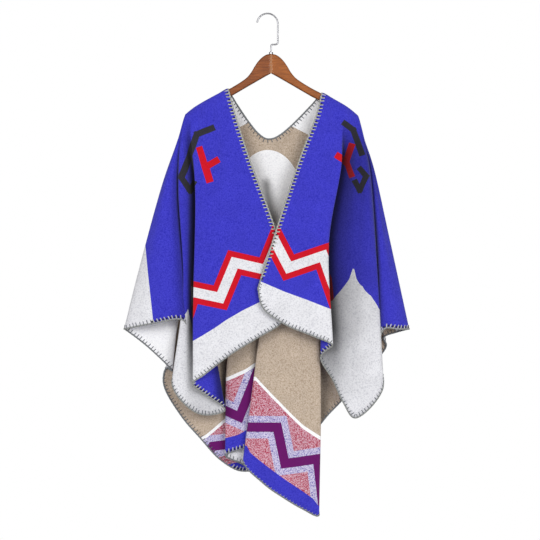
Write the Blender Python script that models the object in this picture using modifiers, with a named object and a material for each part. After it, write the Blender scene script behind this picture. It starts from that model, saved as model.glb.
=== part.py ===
"""Ruana wrap hung over a wooden coat hanger.

The wrap is one rectangle of double-faced blanket cloth with rounded corners and a slit from the
middle of the front hem to the back of the neck. It is modelled as three sheets that meet along the
shoulder ridges: the left front, the right front and the back. Each sheet is a fan of fold lines
that leave the shoulder or the neckline and run down to the hem. A fold line has five places: the
ridge, the brow beside the hanger arm, the yoke, and then the high, low and hem points of its row.

The origin is the inner top of the hook's crook, which is what the hanger hangs by. X runs to the
right as seen from the front, Y to the back and Z up. Tables are in millimetres.
"""
import math
from collections import namedtuple

import bpy
import numpy as np

MM = 0.001
COLLECTION_NAME = "ruana_wrap_on_hanger"

# Driving sizes of the cloth
WALL = 2.0
SEAM_GAP = 0.3
SEAM_LIP = 2.4
COLUMNS_PER_FOLD = 2
ROWS_PER_SPAN = (3, 3, 5, 5, 6)

# Driving sizes of the hanger
HANGER_CENTRE_X = 8.0
ARM_REACH = 188.0
ARM_HALF_THICKNESS = 5.0
ARM_EDGE_RADIUS = 4.0
ARM_HEIGHT = 18.5
ARM_UNDER_CLOTH = 1.8
WIRE_RADIUS = 1.8
CROOK_RADIUS = 23.4
HOOK_LEG_BOTTOM = -62.0
HOOK_JOG = 6.0
WOOD_TOP = -89.5
COLLAR_RADIUS = 4.6
COLLAR_HEIGHT = 4.2

# Shoulder ridge: height against the distance from the hanger's centre line
NECK_REACH = 97.0
SHOULDER_HEIGHT = -168.0
SHOULDER_SLOPE = 0.5
SHOULDER_CURVE = 0.0006
BROW_DROP = 8.0
BROW_DEPTH = 9.5
YOKE_DROP = 48.0
YOKE_DEPTH = 18.0

# Back of the neck
NECK_LEFT = -89.0
NECK_RIGHT = 123.0
NECK_LOW_X = 3.0
NECK_LOW_Z = -279.0
NECK_ROUNDING = 10.0
NECK_LEFT_SLOPE = 1.33
NECK_RIGHT_SLOPE = 0.925
NECK_DEPTH = 24.0
NECK_SQUARENESS = 12

Fold = namedtuple("Fold", "name top high low hem")
Yoke = namedtuple("Yoke", "top_from yoke_from spread")

# One row a fold line. "top" is its x on the shoulder or neckline, the rest are (x, y, z).
RIDGE_LEFT = Fold("ridge_left", -184, (-235, 0, -380), (-291, 0, -584), (-322, 0, -708))
RIDGE_RIGHT = Fold("ridge_right", 203, (237, 0, -341), (273, 0, -501), (318, 0, -708))

FRONT_LEFT = (
    Fold("slit_edge", -89, (-42, -26, -323), (6, -36, -452), (60, -36, -609)),
    Fold("corner", -99, (-66, -28, -330), (-24, -37, -467), (37, -37, -686)),
    Fold("panel_inner", -112, (-96, -29, -339), (-62, -40, -481), (-26, -41, -728)),
    Fold("panel_middle", -128, (-125, -27, -350), (-109, -43, -508), (-84, -47, -764)),
    Fold("panel_outer", -147, (-147, -31, -373), (-147, -45, -575), (-141, -48, -808)),
    Fold("main_crease", -162, (-162, -31, -395), (-168, -42, -620), (-167, -42, -828)),
    Fold("under_layer", -168, (-155, -21, -400), (-145, -30, -625), (-132, -32, -857)),
    Fold("hidden_turn", -172, (-155, -9, -404), (-136, -18, -634), (-95, -22, -888)),
    Fold("lobe_inner", -175, (-170, -7, -404), (-163, -9, -638), (-136, -13, -900)),
    Fold("lobe_middle", -177.5, (-182, -19, -400), (-179, -19, -632), (-170, -18, -888)),
    Fold("lobe_left", -179.5, (-197, -22, -398), (-188, -22, -625), (-213, -17, -832)),
    Fold("side_valley", -181, (-201, -9, -395), (-184, -8, -616), (-190, -3, -755)),
    Fold("wing_crease", -182, (-209, -19, -393), (-194, -24, -607), (-187, -23, -688)),
    Fold("wing_middle", -183, (-224, -17, -386), (-249, -27, -598), (-258, -26, -695)),
    RIDGE_LEFT,
)

FRONT_RIGHT = (
    Fold("slit_edge", 123, (74, -28, -323), (31, -47, -452), (-21, -54, -616)),
    Fold("corner", 131, (93, -30, -328), (53, -49, -458), (-10, -55, -659)),
    Fold("panel_inner", 142, (116, -33, -335), (80, -51, -472), (42, -56, -697)),
    Fold("panel_middle", 154, (143, -35, -335), (111, -51, -485), (100, -54, -721)),
    Fold("main_crease", 165, (165, -33, -330), (136, -45, -508), (144, -48, -742)),
    Fold("under_layer", 170, (161, -23, -337), (129, -33, -517), (132, -37, -753)),
    Fold("hidden_turn", 174, (163, -12, -341), (124, -19, -526), (119, -25, -771)),
    Fold("lobe_inner", 179, (179, -12, -344), (150, -14, -530), (147, -15, -822)),
    Fold("lobe_middle", 185, (197, -25, -346), (186, -27, -533), (170, -20, -872)),
    Fold("lobe_tip", 190.5, (213, -29, -346), (215, -32, -530), (195, -22, -906)),
    Fold("lobe_right", 195.5, (224, -24, -341), (239, -27, -521), (257, -17, -843)),
    Fold("side_valley", 198.5, (228, -14, -339), (243, -11, -517), (250, -3, -755)),
    Fold("wing_crease", 200.5, (233, -11, -339), (250, -22, -512), (262, -23, -706)),
    Fold("wing_middle", 202, (235, -6, -340), (263, -20, -507), (291, -22, -707)),
    RIDGE_RIGHT,
)

BACK = (
    RIDGE_LEFT,
    Fold("cuff_middle", -181.5, (-219, 15, -386), (-253, 24, -598), (-273, 22, -747)),
    Fold("cuff_end", -178, (-197, 24, -395), (-204, 31, -620), (-215, 24, -804)),
    Fold("side_tuck", -172, (-183, 28, -402), (-190, 36, -638), (-230, 33, -798)),
    Fold("side_edge", -163, (-172, 30, -409), (-181, 42, -656), (-236, 41, -836)),
    Fold("side_low", -148, (-152, 30, -418), (-165, 38, -688), (-195, 38, -908)),
    Fold("corner_high", -130, (-129, 30, -431), (-136, 40, -699), (-152, 36, -958)),
    Fold("corner_low", -110, (-105, 32, -443), (-109, 36, -710), (-109, 36, -1005)),
    Fold("left_panel", -89, (-80, 36, -454), (-82, 42, -722), (-66, 39, -1031)),
    Fold("strip_back", -85, (-60, 38, -463), (-62, 41, -728), (-35, 31, -1029)),
    Fold("strip_under", -70, (-44, 38, -465), (-63, 33, -737), (-62, 22, -1012)),
    Fold("strip_left", -56, (-30, 38, -467), (-87, 24, -744), (-95, 14, -994)),
    Fold("strip_front", -40, (-17, 36, -470), (-55, 15, -755), (-48, 6, -975)),
    Fold("strip_turn", -22, (-1, 34, -472), (-12, 11, -760), (6, 0, -953)),
    Fold("tail_left", -4, (15, 32, -474), (-24, -2, -769), (-54, -10, -1002)),
    Fold("tail_inner", 12, (30, 30, -474), (6, -11, -782), (-10, -18, -1052)),
    Fold("tail_middle", 30, (48, 30, -474), (44, -14, -791), (37, -21, -1085)),
    Fold("tail_outer", 50, (69, 30, -472), (82, -11, -782), (80, -17, -1111)),
    Fold("tail_right", 68, (89, 30, -467), (117, -2, -760), (115, -6, -1127)),
    Fold("tail_back", 84, (109, 32, -463), (113, 10, -769), (84, 6, -1048)),
    Fold("right_turn", 100, (129, 34, -456), (114, 19, -778), (91, 16, -971)),
    Fold("right_panel", 118, (150, 34, -449), (141, 31, -760), (129, 28, -913)),
    Fold("right_middle", 123, (174, 30, -438), (174, 37, -733), (170, 36, -870)),
    Fold("right_low", 148, (201, 26, -400), (213, 36, -670), (222, 38, -809)),
    Fold("side_curl", 172, (224, 20, -373), (249, 32, -598), (269, 33, -749)),
    Fold("cuff_end", 188, (233, 14, -355), (260, 23, -542), (263, 18, -727)),
    Fold("cuff_middle", 197, (236, 7, -346), (268, 16, -515), (291, 18, -716)),
    RIDGE_RIGHT,
)

YOKE_FRONT_LEFT = Yoke(top_from=-89, yoke_from=-76, spread=1.28)
YOKE_FRONT_RIGHT = Yoke(top_from=123, yoke_from=111, spread=1.306)
YOKE_BACK = Yoke(top_from=-184, yoke_from=-198, spread=1.0685)

# Upper edge of the bare wood: distance from the centre line, height
WOOD_SHOULDER = (
    (0, -89.5), (9, -90.5), (18, -95.5), (28, -105), (36.5, -117), (44.5, -130.5),
    (55, -143), (71, -154.5), (90, -166),
)


def shoulder_z(x):
    """Height of the cloth's ridge over the hanger arm."""
    out = abs(x - HANGER_CENTRE_X) - NECK_REACH
    return SHOULDER_HEIGHT - SHOULDER_SLOPE * out - SHOULDER_CURVE * out * abs(out)


def neckline_point(x):
    """The free edge at the back of the neck, a rounded V that sinks to the back."""
    away = abs(x - NECK_LOW_X)
    if x < NECK_LOW_X:
        slope, half_width = NECK_LEFT_SLOPE, NECK_LOW_X - NECK_LEFT
    else:
        slope, half_width = NECK_RIGHT_SLOPE, NECK_RIGHT - NECK_LOW_X
    rise = slope * (math.hypot(away, NECK_ROUNDING) - NECK_ROUNDING)
    depth = NECK_DEPTH * (1.0 - (away / half_width) ** NECK_SQUARENESS)
    return np.array((x, depth, NECK_LOW_Z + rise))


def fold_line_controls(fold, yoke, side):
    """The places that one fold line passes, from its top down. side is -1 in front, 1 behind."""
    on_neckline = side > 0 and NECK_LEFT < fold.top < NECK_RIGHT
    yoke_x = yoke.yoke_from + (fold.top - yoke.top_from) * yoke.spread
    if on_neckline:
        top = neckline_point(fold.top)
        brow = top + (0.0, 2.0, -BROW_DROP)
        brow[0] += (yoke_x - fold.top) * BROW_DROP / YOKE_DROP
        low_yoke = np.array((yoke_x, top[1] + 6.0, top[2] - YOKE_DROP))
    else:
        ridge = shoulder_z(fold.top)
        top = np.array((fold.top, side * SEAM_LIP, ridge))
        brow = np.array((fold.top + (yoke_x - fold.top) * 0.2, side * BROW_DEPTH, ridge - BROW_DROP))
        low_yoke = np.array((yoke_x, side * YOKE_DEPTH, ridge - YOKE_DROP))
    points = [top, brow, low_yoke]
    points += [np.array(place, dtype=float) for place in (fold.high, fold.low, fold.hem)]
    if fold in (RIDGE_LEFT, RIDGE_RIGHT):
        for point in points:
            point[1] = side * SEAM_LIP
    return points


def smooth_curve(points, steps, before=None, after=None):
    """A smooth curve through the points, with steps[i] pieces between point i and the next."""
    points = [np.asarray(point, dtype=float) for point in points]
    before = 2 * points[0] - points[1] if before is None else before
    after = 2 * points[-1] - points[-2] if after is None else after
    chain = [before] + points + [after]
    spans = [max(np.linalg.norm(b - a), 1e-6) ** 0.5 for a, b in zip(chain, chain[1:])]
    tangents = []
    for i in range(1, len(chain) - 1):
        back, ahead = spans[i - 1], spans[i]
        slope_back = (chain[i] - chain[i - 1]) / back
        slope_ahead = (chain[i + 1] - chain[i]) / ahead
        tangents.append((slope_back * ahead + slope_ahead * back) / (back + ahead))
    curve = []
    for i, count in enumerate(steps):
        start, end, span = points[i], points[i + 1], spans[i + 1]
        for step in range(count):
            t = step / count
            curve.append((2 * t**3 - 3 * t**2 + 1) * start + (t**3 - 2 * t**2 + t) * span * tangents[i]
                         + (3 * t**2 - 2 * t**3) * end + (t**3 - t**2) * span * tangents[i + 1])
    curve.append(points[-1])
    return curve


def mirrored_in_depth(point):
    return point * (1.0, -1.0, 1.0)


def sheet_grid(folds, yoke, side):
    """Rows of points from the ridge to the hem, each running from one side edge to the other."""
    lines = []
    for fold in folds:
        controls = fold_line_controls(fold, yoke, side)
        over_ridge = None
        if not (side > 0 and NECK_LEFT < fold.top < NECK_RIGHT):
            over_ridge = mirrored_in_depth(controls[1])
        lines.append(smooth_curve(controls, ROWS_PER_SPAN, before=over_ridge))
    starts_on_ridge = folds[0] in (RIDGE_LEFT, RIDGE_RIGHT)
    ends_on_ridge = folds[-1] in (RIDGE_LEFT, RIDGE_RIGHT)
    steps = [COLUMNS_PER_FOLD] * (len(folds) - 1)
    rows = []
    for places in zip(*lines):
        before = mirrored_in_depth(places[1]) if starts_on_ridge else None
        after = mirrored_in_depth(places[-2]) if ends_on_ridge else None
        row = smooth_curve(places, steps, before, after)
        if starts_on_ridge:
            row.insert(0, seam_point(row[0], side))
        if ends_on_ridge:
            row.append(seam_point(row[-1], side))
        rows.append(row)
    rows.insert(0, [top_edge_point(point, side) for point in rows[0]])
    return rows


def seam_point(point, side):
    """The same place at the seam's gap from the middle plane."""
    return np.array((point[0], side * SEAM_GAP / 2, point[2]))


def top_edge_point(point, side):
    """The end of the cloth above a point of its first row: over the arm, or up at the neckline."""
    if side > 0 and NECK_LEFT < point[0] < NECK_RIGHT:
        return point + (0.0, 0.0, SEAM_LIP)
    return seam_point(point, side)


def make_material(name, colour, roughness, metallic=0.0):
    material = bpy.data.materials.new(name)
    material.use_nodes = True
    shader = material.node_tree.nodes["Principled BSDF"]
    shader.inputs["Base Color"].default_value = (*colour, 1.0)
    shader.inputs["Roughness"].default_value = roughness
    shader.inputs["Metallic"].default_value = metallic
    return material


def add_object(name, data, collection, material):
    thing = bpy.data.objects.new(name, data)
    collection.objects.link(thing)
    data.materials.append(material)
    return thing


def add_cloth_sheet(name, folds, yoke, side, collection, material):
    """An open surface over the fold lines, made solid to the cloth's thickness."""
    rows = sheet_grid(folds, yoke, side)
    width = len(rows[0])
    points = [tuple(point * MM) for row in rows for point in row]
    faces = []
    for r in range(len(rows) - 1):
        for c in range(width - 1):
            corner = r * width + c
            faces.append((corner, corner + 1, corner + width + 1, corner + width))
    mesh = bpy.data.meshes.new(name)
    mesh.from_pydata(points, [], faces)
    mesh.shade_smooth()
    sheet = add_object(name, mesh, collection, material)
    wall = sheet.modifiers.new("wall", "SOLIDIFY")
    wall.thickness = WALL * MM
    wall.offset = 0.0
    return sheet


def arm_outline():
    """Upper edge, round end and under edge of one arm, as distances from the centre line."""
    upper = [np.array(place, dtype=float) for place in WOOD_SHOULDER]
    outline = [tuple(place) for place in smooth_curve(upper, [2] * (len(upper) - 1))]
    for share in (0.25, 0.5, 0.75, 0.94):
        out = WOOD_SHOULDER[-1][0] + share * (ARM_REACH - WOOD_SHOULDER[-1][0])
        outline.append((out, shoulder_z(HANGER_CENTRE_X + out) - ARM_UNDER_CLOTH))
    tip_z = shoulder_z(HANGER_CENTRE_X + ARM_REACH) - ARM_UNDER_CLOTH - ARM_HEIGHT / 2
    outline.append((ARM_REACH, tip_z + 3.5))
    outline.append((ARM_REACH - 0.5, tip_z - 5.5))
    outline.append((ARM_REACH - 8.0, tip_z - 7.5))
    for share in (0.5, 0.0):
        out = 90.0 + share * (ARM_REACH - 98.0)
        outline.append((out, shoulder_z(HANGER_CENTRE_X + out) - ARM_UNDER_CLOTH - ARM_HEIGHT))
    outline.append((45.0, -158.5))
    outline.append((12.0, -139.5))
    outline.append((0.0, -133.0))
    return outline


def add_hanger_arm(name, hand, collection, material):
    """A flat outline with rounded edges. hand is -1 for the left arm and 1 for the right one."""
    inset = ARM_EDGE_RADIUS
    data = bpy.data.curves.new(name, "CURVE")
    data.dimensions = "2D"
    data.fill_mode = "BOTH"
    data.extrude = (ARM_HALF_THICKNESS - inset) * MM
    data.bevel_depth = inset * MM
    data.bevel_resolution = 2
    data.offset = -inset * MM
    outline = [(HANGER_CENTRE_X + hand * (out + SEAM_GAP / 2), z) for out, z in arm_outline()]
    spline = data.splines.new("POLY")
    spline.points.add(len(outline) - 1)
    for point, (x, z) in zip(spline.points, outline):
        point.co = (x * MM, z * MM, 0.0, 1.0)
    spline.use_cyclic_u = True
    arm = add_object(name, data, collection, material)
    arm.rotation_euler = (math.radians(90.0), 0.0, 0.0)
    return arm


def add_hook(collection, material):
    """Bent wire: the crook round the rod, the leg, a small jog and the stem into the wood."""
    centre_z = WIRE_RADIUS - CROOK_RADIUS
    path = []
    for step in range(17):
        angle = math.radians(172.0 - 172.0 * step / 16)
        path.append((CROOK_RADIUS * math.cos(angle), centre_z + CROOK_RADIUS * math.sin(angle)))
    leg_x = CROOK_RADIUS
    stem_x = HANGER_CENTRE_X
    for step in range(6):
        turn = math.radians(90.0 * step / 5)
        path.append((leg_x - HOOK_JOG * (1 - math.cos(turn)), HOOK_LEG_BOTTOM - HOOK_JOG * math.sin(turn)))
    for step in range(6):
        turn = math.radians(90.0 * step / 5)
        path.append((stem_x + 4.0 - 4.0 * math.sin(turn),
                     HOOK_LEG_BOTTOM - HOOK_JOG - 4.0 * (1 - math.cos(turn))))
    path.append((stem_x, WOOD_TOP + SEAM_GAP))
    data = bpy.data.curves.new("hanger_hook", "CURVE")
    data.dimensions = "3D"
    data.bevel_depth = WIRE_RADIUS * MM
    data.bevel_resolution = 2
    data.use_fill_caps = True
    spline = data.splines.new("POLY")
    spline.points.add(len(path) - 1)
    for point, (x, z) in zip(spline.points, path):
        point.co = (x * MM, 0.0, z * MM, 1.0)
    return add_object("hanger_hook", data, collection, material)


def add_collar(collection, material):
    """A turned metal ring round the stem, standing on the wood."""
    base = WOOD_TOP + SEAM_GAP
    inner = WIRE_RADIUS + SEAM_GAP
    profile = (
        (COLLAR_RADIUS - 0.8, base + COLLAR_HEIGHT),
        (COLLAR_RADIUS, base + COLLAR_HEIGHT - 0.8),
        (COLLAR_RADIUS, base),
        (inner, base),
        (inner, base + COLLAR_HEIGHT),
    )
    mesh = bpy.data.meshes.new("hook_collar")
    count = len(profile)
    edges = [(i, (i + 1) % count) for i in range(count)]
    mesh.from_pydata([(radius * MM, 0.0, z * MM) for radius, z in profile], edges, [])
    collar = add_object("hook_collar", mesh, collection, material)
    collar.location.x = HANGER_CENTRE_X * MM
    turn = collar.modifiers.new("turn", "SCREW")
    turn.steps = 24
    turn.render_steps = 24
    turn.use_merge_vertices = True
    turn.merge_threshold = 0.00005
    return collar


def main():
    for thing in list(bpy.data.objects):
        bpy.data.objects.remove(thing, do_unlink=True)
    collection = bpy.data.collections.new(COLLECTION_NAME)
    bpy.context.scene.collection.children.link(collection)
    blue = (0.045, 0.04, 0.50)
    sheets = (
        ("front_left", FRONT_LEFT, YOKE_FRONT_LEFT, -1, blue),
        ("front_right", FRONT_RIGHT, YOKE_FRONT_RIGHT, -1, (0.05, 0.045, 0.56)),
        ("back", BACK, YOKE_BACK, 1, (0.58, 0.46, 0.36)),
    )
    for name, folds, yoke, side, colour in sheets:
        material = make_material(name + "_cloth", colour, 0.9)
        add_cloth_sheet(name, folds, yoke, side, collection, material)
    for name, hand in (("hanger_arm_left", -1), ("hanger_arm_right", 1)):
        add_hanger_arm(name, hand, collection, make_material(name + "_wood", (0.27, 0.10, 0.03), 0.3))
    add_hook(collection, make_material("hook_steel", (0.8, 0.8, 0.8), 0.15, 1.0))
    add_collar(collection, make_material("collar_steel", (0.7, 0.7, 0.7), 0.2, 1.0))


main()
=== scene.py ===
import math
from collections import namedtuple

import bmesh
import bpy
import numpy as np
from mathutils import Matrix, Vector


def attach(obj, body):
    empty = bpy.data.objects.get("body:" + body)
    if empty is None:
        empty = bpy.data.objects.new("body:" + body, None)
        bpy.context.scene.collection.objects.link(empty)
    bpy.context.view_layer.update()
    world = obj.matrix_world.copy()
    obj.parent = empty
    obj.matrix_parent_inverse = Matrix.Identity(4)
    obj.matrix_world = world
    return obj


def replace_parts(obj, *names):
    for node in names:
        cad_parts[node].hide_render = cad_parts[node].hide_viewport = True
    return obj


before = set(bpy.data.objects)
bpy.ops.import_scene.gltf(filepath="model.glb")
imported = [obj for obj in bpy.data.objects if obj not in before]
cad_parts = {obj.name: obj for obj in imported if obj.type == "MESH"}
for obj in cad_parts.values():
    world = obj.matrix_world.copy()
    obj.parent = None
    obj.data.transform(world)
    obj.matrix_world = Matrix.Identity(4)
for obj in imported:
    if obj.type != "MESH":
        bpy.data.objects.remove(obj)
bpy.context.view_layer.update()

MM = 0.001

# The photograph's frame: one pixel is this many millimetres in the hanger's plane
PIXEL = 2.25
FRAME_PIXELS = 540
AXIS_PIXEL_X = 267.5
AXIS_PIXEL_Z = 14.3
CAMERA_DISTANCE = 3.5
SENSOR = 36.0

# Cloth sizes in millimetres, as in the part's source
WALL = 2.0
SEAM_LIP = 2.4
HANGER_CENTRE_X = 8.0
NECK_REACH = 97.0
SHOULDER_HEIGHT = -168.0
SHOULDER_SLOPE = 0.5
SHOULDER_CURVE = 0.0006
SHOULDER_END_FROM = 62.0
SHOULDER_END_CURVE = 0.0045
BROW_DROP = 8.0
BROW_DEPTH = 9.5
YOKE_DROP = 48.0
YOKE_DEPTH = 18.0
BROW_SHARE = 0.2
NECK_BROW_DEPTH = 2.0
NECK_YOKE_DEPTH = 6.0
NECK_LEFT = -89.0
NECK_RIGHT = 123.0
NECK_LOW_X = 3.0
NECK_LOW_Z = -279.0
NECK_ROUNDING = 35.0
NECK_LEFT_SLOPE = 1.73
NECK_RIGHT_SLOPE = 1.134
NECK_DEPTH = 24.0
NECK_SQUARENESS = 12

# Wooden hanger and its wire hook, as in the part's source
SEAM_GAP = 0.3
ARM_REACH = 188.0
ARM_HALF_THICKNESS = 5.0
ARM_EDGE_RADIUS = 4.0
ARM_HEIGHT = 18.5
ARM_UNDER_CLOTH = 1.8
WIRE_RADIUS = 1.8
CROOK_RADIUS = 23.4
HOOK_LEG_BOTTOM = -62.0
HOOK_JOG = 6.0
WOOD_TOP = -89.5
COLLAR_RADIUS = 4.6
COLLAR_HEIGHT = 4.2
WOOD_SHOULDER = (
    (0, -89.5), (9, -90.5), (18, -95.5), (28, -105), (36.5, -117), (44.5, -130.5),
    (55, -143), (71, -154.5), (90, -166),
)
WOOD_UNDER = ((45.0, -158.5), (12.0, -139.5), (0.0, -133.0))
ARM_TOP_SHARE = 0.94
ARM_TIP = ((0.0, 3.5), (-0.5, -5.5), (-8.0, -7.5))
ARM_UNDER_START = 135.0
CROOK_END_ANGLE = 172.0
STEM_BEND = 4.0
COLLAR_ROUNDING = 1.2

# Blanket stitch round every free edge
CORD_RADIUS = 1.9
CORD_DEPTH = 1.15
CORD_SWELL = 0.12
CORD_STEP = 3.2
STITCH_PITCH = 8.4
STITCH_SINK = 0.25
STITCH_RISE = 1.5
STITCH_ROOT = 0.6
STITCH_MOST_REACH = 11.5
STITCH_MOST_LEAN = 0.75
# Painted shadow spots: small dark patches beside the edge between the pale stitches, where shade falls
SHADOW_SPOT_FROM_STITCH = STITCH_PITCH / 2 + 1.2
SHADOW_SPOT_FROM_EDGE = 4.2
SHADOW_SPOT_HALF_WIDTH = 2.3
SHADOW_SPOT_HALF_LENGTH = 2.7
SHADOW_SPOT_HEIGHTS = (-0.5, 0.25)
TAIL_HEM_FOLDS = (13.8, 18.2)
RING_SIDES = 6
STRIP_STEP = 3.0
STRIP_STEPS = 4
EDGE_ROWS = 8
SLIT_COLUMNS = 22
SLIT_FIRST_ROW = 2

# How finely the shell is divided
COLUMNS_PER_FOLD = 10
ROWS_PER_SPAN = (5, 5, 14, 18, 20)
SEW_DISTANCE = 0.02

# The cloth's own slight unevenness, and how creases fade in from the ridges, in spans and folds
UNEVENNESS = 0.7
CREASE_FREE = 0.2
CREASE_FADE = 0.8

Fold = namedtuple("Fold", "name top high low hem")
Yoke = namedtuple("Yoke", "top_from yoke_from spread")
Crease = namedtuple("Crease", "fold span fold_end span_end width depth")
Height = namedtuple("Height", "fold height")
Place = namedtuple("Place", "x z")
Shade = namedtuple("Shade", "fold half_width strength")
Shadow = namedtuple("Shadow", "x z x_end z_end width strength first_fold last_fold")
Stroke = namedtuple("Stroke", "width places")
Layer = namedtuple("Layer", "name first_fold line blue zigzag")
Band = namedtuple("Band", "name first_fold start end runs swing")
Valley = namedtuple("Valley", "side core power core_part reach high_reach reach_part floor")
PaleCorner = namedtuple("PaleCorner", "side edge x z slope")
Yarn = namedtuple("Yarn", "first second scale share contrast")
Stitch = namedtuple("Stitch", "slant length root_width tip_width tone")
Surface = namedtuple("Surface", "grid normals on_arm fields")
Arm = namedtuple("Arm", "side hand wood streak")
Light = namedtuple("Light", "name place size power")

PALE_STITCH = Stitch(slant=2.5, length=9.0, root_width=2.8, tip_width=3.4, tone=1.0)
DARK_STITCH = Stitch(slant=1.0, length=9.0, root_width=2.2, tip_width=2.4, tone=0.0)
ROLLED_STITCH = Stitch(slant=1.0, length=4.2, root_width=1.8, tip_width=1.4, tone=0.8)

LIGHTS = (
    Light("key", (-1.25, -3.1, 0.25), 1.3, 44.0),
    Light("fill", (1.25, -3.1, 0.0), 1.3, 50.0),
    Light("rim", (0.6, 2.4, 1.0), 1.6, 20.0),
)
LIGHTS_AIM = Vector((0.0, 0.0, -0.6))
AMBIENT = 0.38
FLOOR_RADIUS = 1.7
FLOOR_Z = -1.5


def places(*pairs):
    return [Place(*pair) for pair in pairs]


def heights(*pairs):
    return [Height(*pair) for pair in pairs]

RIDGE_LEFT = Fold("ridge_left", -184, (-235, 0, -380), (-291, 0, -584), (-322, 0, -708))
RIDGE_RIGHT = Fold("ridge_right", 203, (237, 0, -341), (273, 0, -501), (318, 0, -708))

FRONT_LEFT = (
    Fold("slit_edge", -89, (-42, -26, -323), (6, -36, -452), (60, -36, -609)),
    Fold("corner", -99, (-66, -28, -330), (-24, -37, -467), (37, -37, -686)),
    Fold("panel_inner", -112, (-96, -29, -339), (-62, -40, -481), (-26, -41, -728)),
    Fold("panel_middle", -128, (-125, -27, -350), (-109, -43, -508), (-84, -47, -764)),
    Fold("panel_outer", -147, (-147, -31, -373), (-147, -45, -575), (-141, -48, -808)),
    Fold("main_crease", -162, (-161, -31, -395), (-163.5, -42, -620), (-166, -42, -828)),
    Fold("under_layer", -168, (-155, -21, -400), (-145, -30, -625), (-132, -32, -857)),
    Fold("hidden_turn", -172, (-155, -9, -404), (-136, -18, -634), (-95, -22, -888)),
    Fold("lobe_inner", -175, (-170, -7, -404), (-163, -9, -638), (-136, -13, -900)),
    Fold("lobe_middle", -177.5, (-182, -19, -400), (-179, -19, -632), (-170, -18, -888)),
    Fold("lobe_left", -179.5, (-197, -22, -398), (-188, -22, -625), (-213, -17, -832)),
    Fold("side_valley", -181, (-201, -9, -395), (-184, -8, -616), (-190, -3, -755)),
    Fold("wing_crease", -182, (-209, -19, -393), (-194, -24, -607), (-187, -23, -688)),
    Fold("wing_middle", -183, (-224, -17, -386), (-249, -27, -598), (-258, -26, -695)),
    RIDGE_LEFT,
)

FRONT_RIGHT = (
    Fold("slit_edge", 123, (74, -28, -323), (31, -47, -452), (-21, -54, -616)),
    Fold("corner", 131, (93, -30, -328), (53, -49, -458), (-10, -55, -659)),
    Fold("panel_inner", 142, (116, -33, -335), (80, -51, -472), (42, -56, -697)),
    Fold("panel_middle", 154, (143, -35, -335), (111, -51, -485), (100, -54, -721)),
    Fold("main_crease", 165, (165, -33, -330), (136, -45, -508), (144, -48, -742)),
    Fold("under_layer", 170, (161, -23, -337), (129, -33, -517), (132, -37, -753)),
    Fold("hidden_turn", 174, (163, -12, -341), (124, -19, -526), (119, -25, -771)),
    Fold("lobe_inner", 179, (179, -12, -344), (150, -14, -530), (147, -15, -822)),
    Fold("lobe_middle", 185, (197, -25, -346), (186, -27, -533), (170, -20, -872)),
    Fold("lobe_tip", 190.5, (213, -29, -346), (215, -32, -530), (195, -22, -906)),
    Fold("lobe_right", 195.5, (224, -24, -341), (239, -27, -521), (257, -17, -843)),
    Fold("side_valley", 198.5, (228, -14, -339), (243, -11, -517), (250, -3, -755)),
    Fold("wing_crease", 200.5, (233, -11, -339), (250, -22, -512), (262, -23, -706)),
    Fold("wing_middle", 202, (235, -6, -340), (263, -20, -507), (291, -22, -707)),
    RIDGE_RIGHT,
)

BACK = (
    RIDGE_LEFT,
    Fold("cuff_middle", -181.5, (-219, 15, -386), (-253, 24, -598), (-273, 22, -747)),
    Fold("cuff_end", -178, (-197, 24, -395), (-204, 31, -620), (-215, 24, -804)),
    Fold("side_tuck", -172, (-183, 28, -402), (-190, 36, -638), (-230, 33, -798)),
    Fold("side_edge", -163, (-172, 30, -409), (-181, 42, -656), (-236, 41, -836)),
    Fold("side_low", -148, (-152, 30, -418), (-165, 38, -688), (-195, 38, -908)),
    Fold("corner_high", -130, (-129, 30, -431), (-136, 40, -699), (-152, 36, -958)),
    Fold("corner_low", -110, (-105, 32, -443), (-109, 36, -710), (-109, 36, -1005)),
    Fold("left_panel", -89, (-80, 36, -454), (-82, 42, -722), (-66, 39, -1031)),
    Fold("strip_back", -85, (-60, 38, -463), (-62, 41, -728), (-35, 31, -1029)),
    Fold("strip_under", -70, (-44, 38, -465), (-63, 33, -737), (-62, 22, -1012)),
    Fold("strip_left", -56, (-30, 38, -467), (-87, 24, -744), (-95, 14, -994)),
    Fold("strip_front", -40, (-17, 36, -470), (-55, 15, -755), (-48, 6, -975)),
    Fold("strip_turn", -22, (-1, 34, -472), (-12, 11, -760), (6, 0, -953)),
    Fold("tail_left", -4, (15, 32, -474), (-24, -2, -769), (-54, -10, -1002)),
    Fold("tail_inner", 12, (30, 30, -474), (6, -11, -782), (-10, -18, -1052)),
    Fold("tail_middle", 30, (48, 30, -474), (44, -14, -791), (37, -21, -1085)),
    Fold("tail_outer", 50, (69, 30, -472), (82, -11, -782), (80, -17, -1111)),
    Fold("tail_right", 68, (89, 30, -467), (117, -2, -760), (115, -6, -1127)),
    Fold("tail_back", 84, (109, 32, -463), (113, 10, -769), (84, 6, -1048)),
    Fold("right_turn", 100, (129, 34, -456), (114, 19, -778), (91, 16, -971)),
    Fold("right_panel", 118, (150, 34, -449), (141, 31, -760), (129, 28, -913)),
    Fold("right_middle", 123, (174, 30, -438), (174, 37, -733), (170, 36, -870)),
    Fold("right_low", 148, (201, 26, -400), (213, 36, -670), (222, 38, -809)),
    Fold("side_curl", 172, (224, 20, -373), (249, 32, -598), (269, 33, -749)),
    Fold("cuff_end", 188, (233, 14, -355), (260, 23, -542), (263, 18, -727)),
    Fold("cuff_middle", 197, (236, 7, -346), (268, 16, -515), (291, 18, -716)),
    RIDGE_RIGHT,
)

YOKE_FRONT_LEFT = Yoke(top_from=-89, yoke_from=-76, spread=1.28)
YOKE_FRONT_RIGHT = Yoke(top_from=123, yoke_from=111, spread=1.306)
YOKE_BACK = Yoke(top_from=-184, yoke_from=-198, spread=1.0685)

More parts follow.
